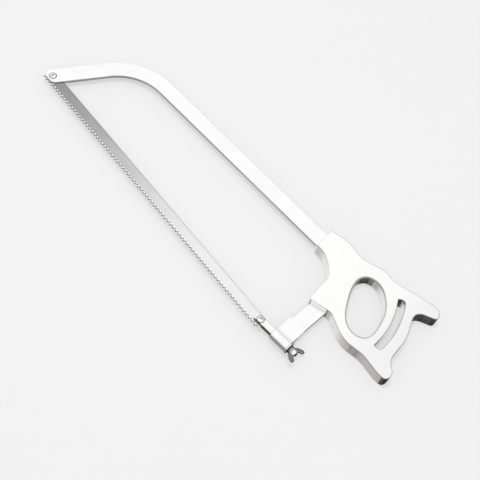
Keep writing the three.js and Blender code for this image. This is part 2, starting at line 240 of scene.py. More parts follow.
class Bench:
    """A piece on the workbench and the steps that shape it."""

    def __init__(self, name: str) -> None:
        """Clears the bench for a piece of this name."""
        bpy.ops.object.select_all(action="DESELECT")
        self.name = name
        self.piece: bpy.types.Object

    def _take(self) -> None:
        """Takes up the primitive that was just added."""
        self.piece = bpy.context.object
        self.piece.name = self.piece.data.name = self.name

    def _hold(self) -> None:
        """Makes this piece the only one selected, and the active one, in object mode."""
        bpy.ops.object.mode_set(mode="OBJECT")
        bpy.ops.object.select_all(action="DESELECT")
        self.piece.select_set(True)
        bpy.context.view_layer.objects.active = self.piece

    def edit(self, part: Part = Part.POINTS) -> None:
        """Goes into edit mode to work on one kind of part."""
        bpy.ops.object.mode_set(mode="EDIT")
        bpy.ops.mesh.select_mode(type=part.value)

    def _lay(self, outline: Outline, height: float) -> None:
        """Moves the vertices added last to an outline at a height."""
        bpy.ops.object.mode_set(mode="OBJECT")
        vertices = list(self.piece.data.vertices)[-len(outline):]
        for vertex, point in zip(vertices, outline):
            vertex.co = (point.x, point.y, height)

    @staticmethod
    def _rim(half: float, edge: float) -> list[Point]:
        """Steps of a plate's wall from its lower to its upper face.

        Args:
            half: half the thickness.
            edge: radius of the rounded rims, 0 for sharp ones.

        Returns:
            Height and inset of each step.
        """
        angles = [QUARTER * step / EDGE_STEPS for step in range(EDGE_STEPS + 1)] if edge else [QUARTER]
        rim = [(half - edge * (1 - math.sin(angle)), edge * (1 - math.cos(angle))) for angle in angles]
        return [(-height, inset) for height, inset in reversed(rim)] + rim

    @classmethod
    def plate(
        cls,
        name: str,
        outline: Outline,
        thickness: float,
        edge: float = 0.0,
        holes: Sequence[tuple[Outline, float]] = (),
    ) -> "Bench":
        """Makes a flat plate that lies about Z = 0.

        Args:
            name: name of the piece.
            outline: outer outline.
            thickness: full thickness.
            edge: radius of the rounded rims, 0 for sharp ones.
            holes: outlines of the holes through it, each with the radius of its rims.

        Returns:
            The bench with the plate on it.
        """
        bench = cls(name)
        half = thickness / 2
        loops = [(outline, edge, -1), *((hole, hole_edge, 1) for hole, hole_edge in holes)]
        for index, (loop, rim_edge, side) in enumerate(loops):
            levels = cls._rim(half, rim_edge)
            if index:
                bench.edit()
            bpy.ops.mesh.primitive_circle_add(vertices=len(loop), radius=1)
            if not index:
                bench._take()
            bench._lay(grown(loop, side * levels[0][1]), levels[0][0])
            for height, inset in levels[1:]:
                bench.edit()
                bpy.ops.mesh.extrude_region_move()
                bench._lay(grown(loop, side * inset), height)
        for height in (-half, half):
            bench.pick(Part.POINTS, lambda point: abs(point.co.z - height) < TOUCH)
            bpy.ops.mesh.fill(use_beauty=True)
        bench.face_outwards()
        return bench

    @classmethod
    def turned(
        cls, name: str, profile: Sequence[Point], hollow: bool = False, sides: int = ROUND_SIDES
    ) -> "Bench":
        """Turns a piece about Z, ring by ring.

        Args:
            name: name of the piece.
            profile: radius and height of each ring.
            hollow: whether the profile closes on itself round a bore.
            sides: number of facets.

        Returns:
            The bench with the turned piece on it.
        """
        bench = cls(name)
        radius, height = profile[0]
        bpy.ops.mesh.primitive_circle_add(
            vertices=sides, radius=radius, fill_type="NOTHING" if hollow else "NGON"
        )
        bench._take()
        bench.edit()
        bpy.ops.mesh.select_all(action="SELECT")
        bpy.ops.transform.translate(value=(0, 0, height))
        for ring, level in [*profile[1:], profile[0]] if hollow else profile[1:]:
            bpy.ops.mesh.extrude_region_move(TRANSFORM_OT_translate={"value": (0, 0, level - height)})
            bpy.ops.transform.resize(value=(ring / radius, ring / radius, 1), center_override=(0, 0, level))
            radius, height = ring, level
        bpy.ops.mesh.select_all(action="SELECT")
        bpy.ops.mesh.remove_doubles(threshold=TOUCH)
        bench.face_outwards()
        return bench

    @classmethod
    def block(cls, name: str, size: Sequence[float], middle: Sequence[float]) -> "Bench":
        """Makes a block for cutting with.

        Args:
            name: name of the block.
            size: its three sides.
            middle: its centre.

        Returns:
            The bench with the block on it.
        """
        bench = cls(name)
        bpy.ops.mesh.primitive_cube_add(size=1)
        bench._take()
        bench.place(Matrix.Translation(middle) @ Matrix.Diagonal((*size, 1)))
        return bench

    def face_outwards(self) -> None:
        """Turns all faces outwards."""
        self._hold()
        bpy.ops.object.mode_set(mode="EDIT")
        bpy.ops.mesh.select_all(action="SELECT")
        bpy.ops.mesh.normals_make_consistent(inside=False)
        bpy.ops.object.mode_set(mode="OBJECT")

    def pick(self, part: Part, wanted: Callable[[Any], bool]) -> None:
        """Goes into edit mode with the points or faces that pass a test selected.

        Args:
            part: what is picked.
            wanted: the test.
        """
        self._hold()
        self.edit(part)
        bpy.ops.mesh.select_all(action="DESELECT")
        bpy.ops.object.mode_set(mode="OBJECT")
        mesh = self.piece.data
        for element in mesh.vertices if part is Part.POINTS else mesh.polygons:
            element.select = wanted(element)
        bpy.ops.object.mode_set(mode="EDIT")

    def modify(self, kind: str, **settings: Any) -> "Bench":
        """Adds a modifier with its settings and applies it.

        Args:
            kind: type of the modifier.
            settings: its settings.

        Returns:
            The bench itself.
        """
        self._hold()
        bpy.ops.object.modifier_add(type=kind)
        modifier = self.piece.modifiers[-1]
        for setting, value in settings.items():
            setattr(modifier, setting, value)
        bpy.ops.object.modifier_apply(modifier=modifier.name)
        return self

    def combine(self, tool: "Bench", how: Cut = Cut.TAKE) -> "Bench":
        """Cuts this piece with another, or joins them, and clears the other away.

        Args:
            tool: the other piece.
            how: what the other piece does.

        Returns:
            The bench itself.
        """
        self.modify("BOOLEAN", operation=how.value, solver="EXACT", object=tool.piece)
        bpy.data.meshes.remove(tool.piece.data)
        return self

    def place(self, matrix: Matrix) -> "Bench":
        """Moves the piece and applies the move to its mesh.

        Args:
            matrix: the move.

        Returns:
            The bench itself.
        """
        self._hold()
        self.piece.matrix_world = matrix
        bpy.ops.object.transform_apply(location=True, rotation=True, scale=True)
        return self

    def seat(self, station: Matrix) -> bpy.types.Object:
        """Sets the finished piece into the frame and shades it.

        Args:
            station: where the piece's own origin goes, in metres.

        Returns:
            The piece.
        """
        self.place(station @ Matrix.Scale(MILLIMETRE, 4))
        bpy.ops.object.shade_smooth_by_angle(angle=math.radians(SMOOTH_ANGLE))
        self.modify("WEIGHTED_NORMAL", keep_sharp=True, weight=FACE_WEIGHT)
        return self.piece


# Shading


class Shade:
    """A socket in a shader. Arithmetic on it adds Math nodes."""

    def __init__(self, graph: "ShadeGraph", socket: bpy.types.NodeSocket) -> None:
        """Wraps a socket of a graph."""
        self.graph = graph
        self.socket = socket

    def _math(self, operation: str, first: "Shade | float", second: "Shade | float") -> "Shade":
        """Adds one Math node."""
        return self.graph.node("ShaderNodeMath", {"operation": operation}, {0: first, 1: second})

    def __add__(self, other: "Shade | float") -> "Shade":
        """Sum."""
        return self._math("ADD", self, other)

    def __radd__(self, other: float) -> "Shade":
        """Sum with a number first."""
        return self._math("ADD", other, self)

    def __sub__(self, other: "Shade | float") -> "Shade":
        """Difference."""
        return self._math("SUBTRACT", self, other)

    def __rsub__(self, other: float) -> "Shade":
        """Difference from a number."""
        return self._math("SUBTRACT", other, self)

    def __mul__(self, other: "Shade | float") -> "Shade":
        """Product."""
        return self._math("MULTIPLY", self, other)

    def __rmul__(self, other: float) -> "Shade":
        """Product with a number first."""
        return self._math("MULTIPLY", other, self)

    def step(self, low: float, high: float) -> "Shade":
        """Soft step from 0 at the low value to 1 at the high one."""
        return self.graph.node(
            "ShaderNodeMapRange",
            {"interpolation_type": "SMOOTHSTEP"},
            {"Value": self, "From Min": low, "From Max": high},
        )

    def between(self, rise: Point, fall: Point) -> "Shade":
        """Soft band that rises over one pair of values and falls over another."""
        return self.step(*rise) * (1 - self.step(*fall))


class ShadeGraph:
    """Node tree of a material or the world, filled from code."""

    ENDLESS = 1e6  # scale along which a pattern doesn't change
    OPEN_RISE = (0.4, 0.85)  # open share of a corner in full painted shade, and of one without it
    OPEN_RAYS = 8

    def __init__(self, tree: bpy.types.NodeTree) -> None:
        """Starts with an empty tree."""
        self.tree = tree
        tree.nodes.clear()

    def node(
        self, kind: str, settings: dict[str, Any], inputs: dict[str | int, Any], output: str | int = 0
    ) -> Shade:
        """Adds a node.

        Args:
            kind: type of the node.
            settings: what is set first. The stops of a ramp are pairs of place and colour.
            inputs: values or links of its sockets, by name or number.
            output: which output to return.

        Returns:
            The output, or the first input of a node without outputs.
        """
        node = self.tree.nodes.new(kind)
        for setting, value in settings.items():
            if setting == "stops":
                elements = node.color_ramp.elements
                for index, (place, colour) in enumerate(value):
                    stop = elements[index] if index < 2 else elements.new(place)
                    stop.position, stop.color = place, (*colour, 1)
            else:
                setattr(node, setting, value)
        for socket, value in inputs.items():
            if isinstance(value, Shade):
                self.tree.links.new(value.socket, node.inputs[socket])
            else:
                node.inputs[socket].default_value = value
        return Shade(self, node.outputs[output]) if node.outputs else Shade(self, node.inputs[0])

    def axis(self, place: Shade, letter: str) -> Shade:
        """One of the coordinates X, Y and Z."""
        return self.node("ShaderNodeSeparateXYZ", {}, {0: place}, letter)

    def blend(self, share: Shade, first: Shade | Colour, second: Shade | Colour) -> Shade:
        """Mixes two colours by the share of the second."""
        ends = [end if isinstance(end, Shade) else (*end, 1) for end in (first, second)]
        return self.node("ShaderNodeMix", {"data_type": "RGBA"}, {0: share, 6: ends[0], 7: ends[1]}, 2)

    def noise(self, place: Shade, scale: float, detail: float = 3.0, stretch: Place = (1, 1, 1)) -> Shade:
        """Noise with so many waves to a metre, on stretched coordinates."""
        mapped = self.node("ShaderNodeMapping", {}, {"Vector": place, "Scale": stretch})
        return self.node("ShaderNodeTexNoise", {}, {"Vector": mapped, "Scale": scale, "Detail": detail})

    def corners(self, reach: float) -> Shade:
        """Share of painted shade in inner corners and slots, from ambient occlusion out to a reach in metres.
        """
        rays, depth = {"samples": self.OPEN_RAYS}, {"Distance": reach}
        return 1 - self.node("ShaderNodeAmbientOcclusion", rays, depth, "AO").step(*self.OPEN_RISE)

    def column(
        self, place: Shade, centre: Place, radius: float, fade: float, lean: Place = (0, 0, 0)
    ) -> Shade:
        """Round column through a point, upright unless it leans.

        Args:
            place: coordinates.
            centre: point on its axis.
            radius: its radius in metres.
            fade: width in metres over which it fades.
            lean: turn of its axis about X, Y and Z in radians.

        Returns:
            A value from 1 inside the column to 0 outside it.
        """
        local = {"Vector": place, "Location": centre, "Rotation": lean, "Scale": (1, 1, self.ENDLESS)}
        spoke = self.node("ShaderNodeMapping", {"vector_type": "TEXTURE"}, local)
        length = self.node("ShaderNodeVectorMath", {"operation": "LENGTH"}, {0: spoke}, "Value")
        return 1 - length.step(radius - fade, radius)

    def bump(self, height: Shade, depth: float) -> Shade:
        """Normal bent by a height, of which 1 stands for a depth in metres."""
        return self.node("ShaderNodeBump", {}, {"Height": height, "Distance": depth})


def fresh_material(name: str) -> tuple[bpy.types.Material, ShadeGraph, Shade]:
    """Starts a material.

    Args:
        name: name of the material.

    Returns:
        The material, its graph and the Object coordinates in it.
    """
    material = bpy.data.materials.new(name)
    material.use_nodes = True
    graph = ShadeGraph(material.node_tree)
    return material, graph, graph.node("ShaderNodeTexCoord", {}, {}, "Object")


@dataclass(frozen=True, kw_only=True)
class MetalFinish:
    """A metal finish, which each kind mixes in its own way."""

    name: str
    slot: str

    def mix(self, graph: ShadeGraph, place: Shade) -> tuple[Shade, Shade, Shade]:
        """Colour, roughness and bent normal."""
        raise NotImplementedError

    def material(self) -> bpy.types.Material:
        """Makes the material."""
        material, graph, place = fresh_material(self.name)
        colour, roughness, normal = self.mix(graph, place)
        looks = {"Base Color": colour, "Roughness": roughness, "Normal": normal, "Metallic": 1.0}
        shader = graph.node("ShaderNodeBsdfPrincipled", {}, looks)
        graph.node("ShaderNodeOutputMaterial", {}, {"Surface": shader})
        return material


@dataclass(frozen=True, kw_only=True)
class PolishedBar(MetalFinish):
    """Polished plated flat bar, hazed by wiping, with painted shade round the nose screw and in the slit."""

    nose_pin: Place
    name: str = "polished_plated_bar"
    slot: str = "polished_bar"
    bright: Colour = (0.85, 0.85, 0.85)
    hazed: Colour = (0.82, 0.82, 0.822)
    # painted shade colour, for a ring round the nose screw and for the corners of the slit
    painted_nose_shade: Colour = (0.04, 0.04, 0.04)
    # radius of the painted shade ring round the nose screw, in metres
    ring: float = 0.0066
    shade_ring_fade: float = 0.0014
    # radius round the nose pin within which the slit's corners get painted shade
    slit: float = 0.034
    slit_shade_reach: float = 0.003
    roughness: float = 0.08
    haze: float = 0.04
    haze_scale: float = 38
    haze_rise: Point = (0.35, 0.7)
    wiping: float = 0.04
    wiping_stretch: Place = (1, 7, 1)
    wiping_scale: float = 420
    wiping_depth: float = 4e-6

    def mix(self, graph: ShadeGraph, place: Shade) -> tuple[Shade, Shade, Shade]:
        """Colour, roughness and bent normal."""
        haze = graph.noise(place, self.haze_scale).step(*self.haze_rise)
        wiping = graph.noise(place, self.wiping_scale, detail=2, stretch=self.wiping_stretch)
        plated = graph.blend(haze, self.bright, self.hazed)
        # painted shade: a dark ring round the nose screw, and ambient-occlusion shade in the slit's corners
        ring = graph.column(place, self.nose_pin, self.ring, self.shade_ring_fade)
        slit = graph.column(place, self.nose_pin, self.slit, self.shade_ring_fade) * graph.corners(self.slit_shade_reach)
        colour = graph.blend(ring + slit, plated, self.painted_nose_shade)
        roughness = self.roughness + haze * self.haze + wiping * self.wiping
        return colour, roughness, graph.bump(wiping, self.wiping_depth)


@dataclass(frozen=True, kw_only=True)
class CastAluminium(MetalFinish):
    """Polished casting with the soft waves of the buffing wheel and a few fine pits, with painted shade
    darkening its rear.
    """

    name: str = "polished_casting"
    slot: str = "cast_handle"
    bright: Colour = (0.855, 0.855, 0.85)
    hazed: Colour = (0.835, 0.835, 0.825)
    # painted shade: the colour the casting darkens to towards its rear
    painted_rear_shade: Colour = (0.765, 0.77, 0.765)
    pit: Colour = (0.66, 0.65, 0.63)
    rear_shade_rise: Point = (0.24, 0.3)  # metres along X
    roughness: float = 0.14
    haze: float = 0.06
    haze_scale: float = 30
    haze_rise: Point = (0.35, 0.7)
    wave_scale: float = 55
    wave_depth: float = 6e-5
    pitting: float = 0.15
    pit_scale: float = 1500
    pit_rise: Point = (0.74, 0.8)
    pit_share: float = 0.1

    def mix(self, graph: ShadeGraph, place: Shade) -> tuple[Shade, Shade, Shade]:
        """Colour, roughness and bent normal."""
        haze = graph.noise(place, self.haze_scale).step(*self.haze_rise)
        waves = graph.noise(place, self.wave_scale, detail=1)
        pits = graph.noise(place, self.pit_scale, detail=1).step(*self.pit_rise)
        buffed = graph.blend(haze, self.bright, self.hazed)
        # painted shade: the casting darkens along X towards its rear
        painted_light_tone = graph.blend(graph.axis(place, "X").step(*self.rear_shade_rise), buffed, self.painted_rear_shade)
        colour = graph.blend(pits, painted_light_tone, self.pit)
        roughness = self.roughness + haze * self.haze + pits * self.pitting
        return colour, roughness, graph.bump(waves - pits * self.pit_share, self.wave_depth)


@dataclass(frozen=True, kw_only=True)
class BladeSteel(MetalFinish):
    """Steel ground along its length, with a painted reflection that runs from dark at the nose to bright at
    the rear, painted highlights on the teeth and painted shade in the gullets and at the tips.
    """

    first_gullet: float  # metres along X
    pitch: float
    back: float  # metres along Y
    gullets: float
    tips: float
    name: str = "ground_blade"
    slot: str = "blade_steel"
    # painted reflection: dark at the nose and bright at the rear, its two ends here
    painted_dark_nose: Colour = (0.28, 0.28, 0.29)
    painted_light_tone: Colour = (0.77, 0.77, 0.77)
    line: Colour = (0.15, 0.15, 0.155)
    # painted highlight on the middle of each tooth, then painted shade in the gullets and at the tips
    painted_tooth_highlight: Colour = (0.95, 0.95, 0.95)
    painted_tooth_shade: Colour = (0.04, 0.04, 0.04)
    painted_light_rise: Point = (-0.34, 0.07)  # metres along X
    patch_scale: float = 45
    patch_stretch: Place = (0.3, 1, 1)
    patch_shift: float = 0.08
    line_scale: float = 2600
    line_stretch: Place = (0.012, 1, 0.3)
    line_rise: Point = (0.5, 0.8)
    line_share: float = 0.25
    line_depth: float = 6e-6
    back_width: float = 0.0035
    back_share: float = 0.3
    # where the painted highlights and shade fall, along the pitch and across the teeth
    tooth_rise: Point = (0.02, 0.16)  # shares of the pitch
    tooth_fall: Point = (0.44, 0.64)
    base_rise: Point = (-0.0004, 0.0006)  # metres from the middle of the teeth
    base_fall: float = 0.001
    tip_shade_rise: Point = (-0.0003, 0.0007)
    tip_shade_share: float = 0.9
    gullet_shade_share: float = 0.45
    roughness: float = 0.26
    grain: float = 0.14

    def mix(self, graph: ShadeGraph, place: Shade) -> tuple[Shade, Shade, Shade]:
        """Colour, roughness and bent normal."""
        along, across = graph.axis(place, "X"), graph.axis(place, "Y")
        lines = graph.noise(place, self.line_scale, detail=4, stretch=self.line_stretch)
        patches = graph.noise(place, self.patch_scale, stretch=self.patch_stretch)
        # painted reflection along X, from dark at the nose to bright at the rear, its edge mottled by patches
        painted_light_share = (along + (patches - 0.5) * self.patch_shift).step(*self.painted_light_rise)
        steel = graph.blend(painted_light_share, self.painted_dark_nose, self.painted_light_tone)
        ground = graph.blend(lines.step(*self.line_rise) * self.line_share, steel, self.line)
        back = across.step(self.back - self.back_width, self.back) * self.back_share
        edged = graph.blend(back, ground, self.line)
        phase = (along - self.first_gullet) * (1 / self.pitch)
        tooth = graph.node("ShaderNodeMath", {"operation": "FRACT"}, {0: phase})
        tooth_middle = tooth.between(self.tooth_rise, self.tooth_fall)
        depth = across - (self.gullets + self.tips) / 2
        top = (self.gullets - self.tips) / 2
        base = depth.between(self.base_rise, (top, top + self.base_fall))
        # painted highlight on the middle of each tooth
        painted_tooth_highlight = graph.blend(base * tooth_middle, edged, self.painted_tooth_highlight)
        # painted shade at the tips, and beside the highlights down in the gullets
        tips = (1 - depth.step(*self.tip_shade_rise)) * self.tip_shade_share
        colour = graph.blend(tips + base * (1 - tooth_middle) * self.gullet_shade_share, painted_tooth_highlight, self.painted_tooth_shade)
        return colour, self.roughness + lines * self.grain, graph.bump(lines, self.line_depth)


@dataclass(frozen=True, kw_only=True)
class PlatedHardware(MetalFinish):
    """Bright plating on the screws and nuts, slightly clouded, with painted shade in its corners and slots.
    """

    name: str = "bright_plating"
    slot: str = "plated_hardware"
    bright: Colour = (0.85, 0.85, 0.84)
    clouded: Colour = (0.77, 0.765, 0.75)
    # painted shade colour, for corners and slots
    painted_shade: Colour = (0.025, 0.025, 0.025)
    # how far the painted corner shade reaches, in metres
    reach: float = 0.004
    roughness: float = 0.08
    cloud: float = 0.08
    cloud_scale: float = 160
    cloud_rise: Point = (0.4, 0.75)
    grain_scale: float = 1400
    grain_depth: float = 5e-6

    def painted_shade_share(self, graph: ShadeGraph, place: Shade) -> Shade:
        """Share of the painted shade over the plating, in its corners."""
        return graph.corners(self.reach)

    def mix(self, graph: ShadeGraph, place: Shade) -> tuple[Shade, Shade, Shade]:
        """Colour, roughness and bent normal."""
        cloud = graph.noise(place, self.cloud_scale).step(*self.cloud_rise)
        grain = graph.noise(place, self.grain_scale, detail=2)
        plating = graph.blend(cloud, self.bright, self.clouded)
        # painted shade over the plating
        colour = graph.blend(self.painted_shade_share(graph, place), plating, self.painted_shade)
        roughness = self.roughness + cloud * self.cloud
        return colour, roughness, graph.bump(grain, self.grain_depth)


@dataclass(frozen=True, kw_only=True)
class RodPlating(PlatedHardware):
    """The same plating on the rod, with painted dark reflections on its flanks and a painted shade ring round
    its screw.
    """

    rear_pin: Place
    name: str = "rod_plating"
    # painted dark reflection on the flanks, within this height of the middle plane
    shaded_flank: float = 0.0042  # metres above and below the middle plane
    flank_fade: float = 0.0004
    flank_shade_share: float = 0.95
    # radius of the painted shade ring round the rear screw, in metres
    ring: float = 0.0064
    shade_ring_fade: float = 0.0012

    def painted_shade_share(self, graph: ShadeGraph, place: Shade) -> Shade:
        """Share of the painted shade over the plating: dark reflections on the flanks, a ring round the screw
        and the corners.
        """
        # painted dark reflection on the flanks, a painted shade ring round the screw, and shade in the
        # corners
        height = graph.axis(place, "Z") - self.rear_pin[2]
        away = graph.node("ShaderNodeMath", {"operation": "ABSOLUTE"}, {0: height})
        shaded_flank = (1 - away.step(self.shaded_flank - self.flank_fade, self.shaded_flank)) * self.flank_shade_share
        ring = graph.column(place, self.rear_pin, self.ring, self.shade_ring_fade)
        return shaded_flank + ring + super().painted_shade_share(graph, place)


@dataclass(frozen=True, kw_only=True)
class NutPlating(PlatedHardware):
    """The same plating on the wing nut, with painted dark reflections on its wings."""

    rear_pin: Place
    tilt: float  # degrees from X to the nut's axis
    name: str = "nut_plating"
    hub: float = 0.0062
    hub_fade: float = 0.001
    # share of painted dark reflection on the wings, outside the hub
    wing_shade_share: float = 0.75

    def painted_shade_share(self, graph: ShadeGraph, place: Shade) -> Shade:
        """Share of the painted shade over the plating: dark reflections on the wings and shade in the
        corners.
        """
        lean = (0, QUARTER, math.radians(self.tilt))
        # painted dark reflection on the wings, everywhere outside a column round the hub
        wings = 1 - graph.column(place, self.rear_pin, self.hub, self.hub_fade, lean)
        return wings * self.wing_shade_share + super().painted_shade_share(graph, place)


def dress(piece: bpy.types.Object, node: str, body: Body, finish: MetalFinish) -> None:
    """Gives a piece its finish and puts it in the place of its solid.

    Args:
        piece: the finished piece.
        node: solid that it stands for.
        body: body that it moves with.
        finish: its finish.
    """
    material = bpy.data.materials.get(finish.name) or finish.material()
    piece.data.materials.clear()
    piece.data.materials.append(material)
    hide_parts(node)
    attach(piece, body.value)
    triangles = sum(len(face.vertices) - 2 for face in piece.data.polygons)
    log.info("%s stands for %s on %s, %d triangles", piece.name, node, body.value, triangles)


# Sub-assemblies


@dataclass
class SawPlan:
    """Sizes in millimetres that several pieces share, and the places worked out from them."""

    fit_gap: float = 0.3
    seat_gap: float = 0.1
    pin_spacing: float = 494
    blade_nose: float = 9.6
    blade_overhang: float = 8
    blade_thickness: float = 0.8
    blade_back: float = 7.9
    bar_width: float = 25
    bar_thickness: float = 6
    nose_leg_angle: float = 65.2
    nose_leg_length: float = 138.5
    bow_angle: float = 4.2
    rear_bend: float = 48
    key_hole: float = 8
    key_offset: float = 59
    screw_shank: float = 6
    rod_size: float = 10
    rod_chamfer: float = 0.9
    rod_tilt: float = 6
    rod_travel: float = 4.25
    stud_diameter: float = 6
    barrel_reach: float = 39.3
    barrel_length: float = 28.4
    washer_thickness: float = 2
    hub_height: float = 11.3
    thread_pitch: float = 1
    thread_depth: float = 0.55
    thread_root: Point = (0.42, 0.58)  # shares of the pitch
    thread_crest: float = 0.98

    @property
    def leg_angle(self) -> float:
        """Direction of the rear leg, from the bow down."""
        return self.bow_angle - 90

    @property
    def slit(self) -> float:
        """Width of the slots that the blade sits in."""
        return self.blade_thickness + 2 * self.fit_gap

    @property
    def pin_hole(self) -> float:
        """Radius of a hole for a pin."""
        return self.screw_shank / 2 + self.fit_gap

    @property
    def stud_hole(self) -> float:
        """Radius of a hole for the stud."""
        return self.stud_diameter / 2 + self.fit_gap

    @property
    def bore(self) -> float:
        """Radius of the barrel's bore, which the square rod turns in."""
        return math.hypot(self.rod_size / 2, self.rod_size / 2 - self.rod_chamfer) + self.fit_gap

    @property
    def barrel(self) -> Vector:
        """Middle of the barrel, from the nose pin."""
        return Vector((self.pin_spacing, 0)) + heading(self.rod_tilt) * self.barrel_reach

    @property
    def nose_corner(self) -> Vector:
        """Corner of the nose leg and the bow, from the nose pin."""
        return heading(self.nose_leg_angle) * self.nose_leg_length

    @property
    def rear_corner(self) -> Vector:
        """Corner of the bow and the rear leg, from the nose pin."""
        along = heading(self.bow_angle)
        return self.nose_corner + along * (self.barrel - self.nose_corner).dot(along)

    @property
    def barrel_end(self) -> float:
        """Rear end of the barrel, from the rear pin."""
        return self.barrel_reach + self.barrel_length / 2

    @property
    def nut_seat(self) -> float:
        """Seat of the wing nut, from the rear pin."""
        return self.barrel_end + self.washer_thickness + 2 * self.fit_gap

    def thread(self, low: float, high: float, radius: float) -> list[Point]:
        """Profile of a thread.

        Args:
            low: height where it starts.
            high: height where it ends.
            radius: outer radius.

        Returns:
            Radius and height of its crests and roots.
        """
        turns = max(1, round((high - low) / self.thread_pitch))
        pitch = (high - low) / turns
        rings = (radius - self.thread_depth, radius - self.thread_depth, radius)
        shares = (*self.thread_root, self.thread_crest)
        points = [(radius, low)]
        for turn in range(turns):
            start = low + turn * pitch
            points += [(ring, start + pitch * share) for ring, share in zip(rings, shares)]
        return points


@dataclass
class Stations:
    """Places in the frame that the pieces are modelled at, in metres."""

    nose: Matrix
    corner: Matrix
    rod: Matrix

    @classmethod
    def find(cls, frame: dict[str, Any], plan: SawPlan) -> "Stations":
        """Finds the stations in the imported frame.

        Args:
            frame: the loaded frame.
            plan: shared sizes.

        Returns:
            The stations.
        """
        (low, high), (under, over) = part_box("nose_screw"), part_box("handle")
        pin = Vector(((low[0] + high[0]) / 2, (low[1] + high[1]) / 2, (under[2] + over[2]) / 2))
        turn = next(joint for joint in frame["joints"] if joint["name"] == "wing_nut_turn")
        nose = Matrix.Translation(pin)
        corner = Matrix.Translation((plan.rear_corner * MILLIMETRE).to_3d())
        lean = Matrix.Rotation(math.radians(plan.bow_angle), 4, "Z")
        tilt = Matrix.Rotation(math.atan2(turn["axis"][1], turn["axis"][0]), 4, "Z")
        return cls(nose, nose @ corner @ lean, Matrix.Translation(turn["pos_m"]) @ tilt)


@dataclass
class FrameBar:
    """Flat bar bent into the bow, with a slit nose."""

    plan: SawPlan
    edge: float = 0.8
    nose_bend: float = 92
    nose_drop: float = 8.6
    nose_front_round: float = 9.6
    nose_rear_round: float = 10

    def outline(self) -> Outline:
        """Outline of the bar from the nose over the bow to the end of the rear leg."""
        plan, half = self.plan, self.plan.bar_width / 2
        nose, bow, leg = plan.nose_leg_angle, plan.bow_angle, plan.leg_angle
        origin, low = Vector((0, 0)), Vector((0, -self.nose_drop))
        stop = plan.barrel - heading(leg) * (plan.bore + plan.fit_gap)
        sides = [
            (beside(origin, nose, side), beside(plan.nose_corner, bow, side), beside(plan.barrel, leg, side))
            for side in (half, -half)
        ]
        (out_nose, out_bow, out_leg), (in_nose, in_bow, in_leg) = sides
        return rounded([
            (crossing(low, 0, out_nose, nose), self.nose_front_round),
            (crossing(out_nose, nose, out_bow, bow), self.nose_bend + half),
            (crossing(out_bow, bow, out_leg, leg), plan.rear_bend + half),
            (crossing(out_leg, leg, stop, bow), 0),
            (crossing(stop, bow, in_leg, leg), 0),
            (crossing(in_leg, leg, in_bow, bow), plan.rear_bend - half),
            (crossing(in_bow, bow, in_nose, nose), self.nose_bend - half),
            (crossing(in_nose, nose, low, 0), self.nose_rear_round),
        ])

    def build(self, stations: Stations, finish: MetalFinish) -> None:
        """Models the bar and dresses it.

        Args:
            stations: places in the frame.
            finish: finish of the bar.
        """
        plan = self.plan
        on_bow = plan.rear_corner - heading(plan.bow_angle) * plan.key_offset
        on_leg = plan.rear_corner + heading(plan.leg_angle) * plan.key_offset
        holes = [(circle(Vector((0, 0)), plan.pin_hole), self.edge)]
        holes += [(circle(key, plan.key_hole / 2), self.edge) for key in (on_bow, on_leg)]
        bar = Bench.plate("bow_bar", self.outline(), plan.bar_thickness, self.edge, holes)
        top = plan.blade_back + plan.fit_gap
        height = top + 2 * self.nose_drop
        slit = Bench.block("slit", (2 * plan.nose_leg_length, height, plan.slit), (0, top - height / 2, 0))
        dress(bar.combine(slit).seat(stations.nose), "frame_bar", Body.FRAME, finish)


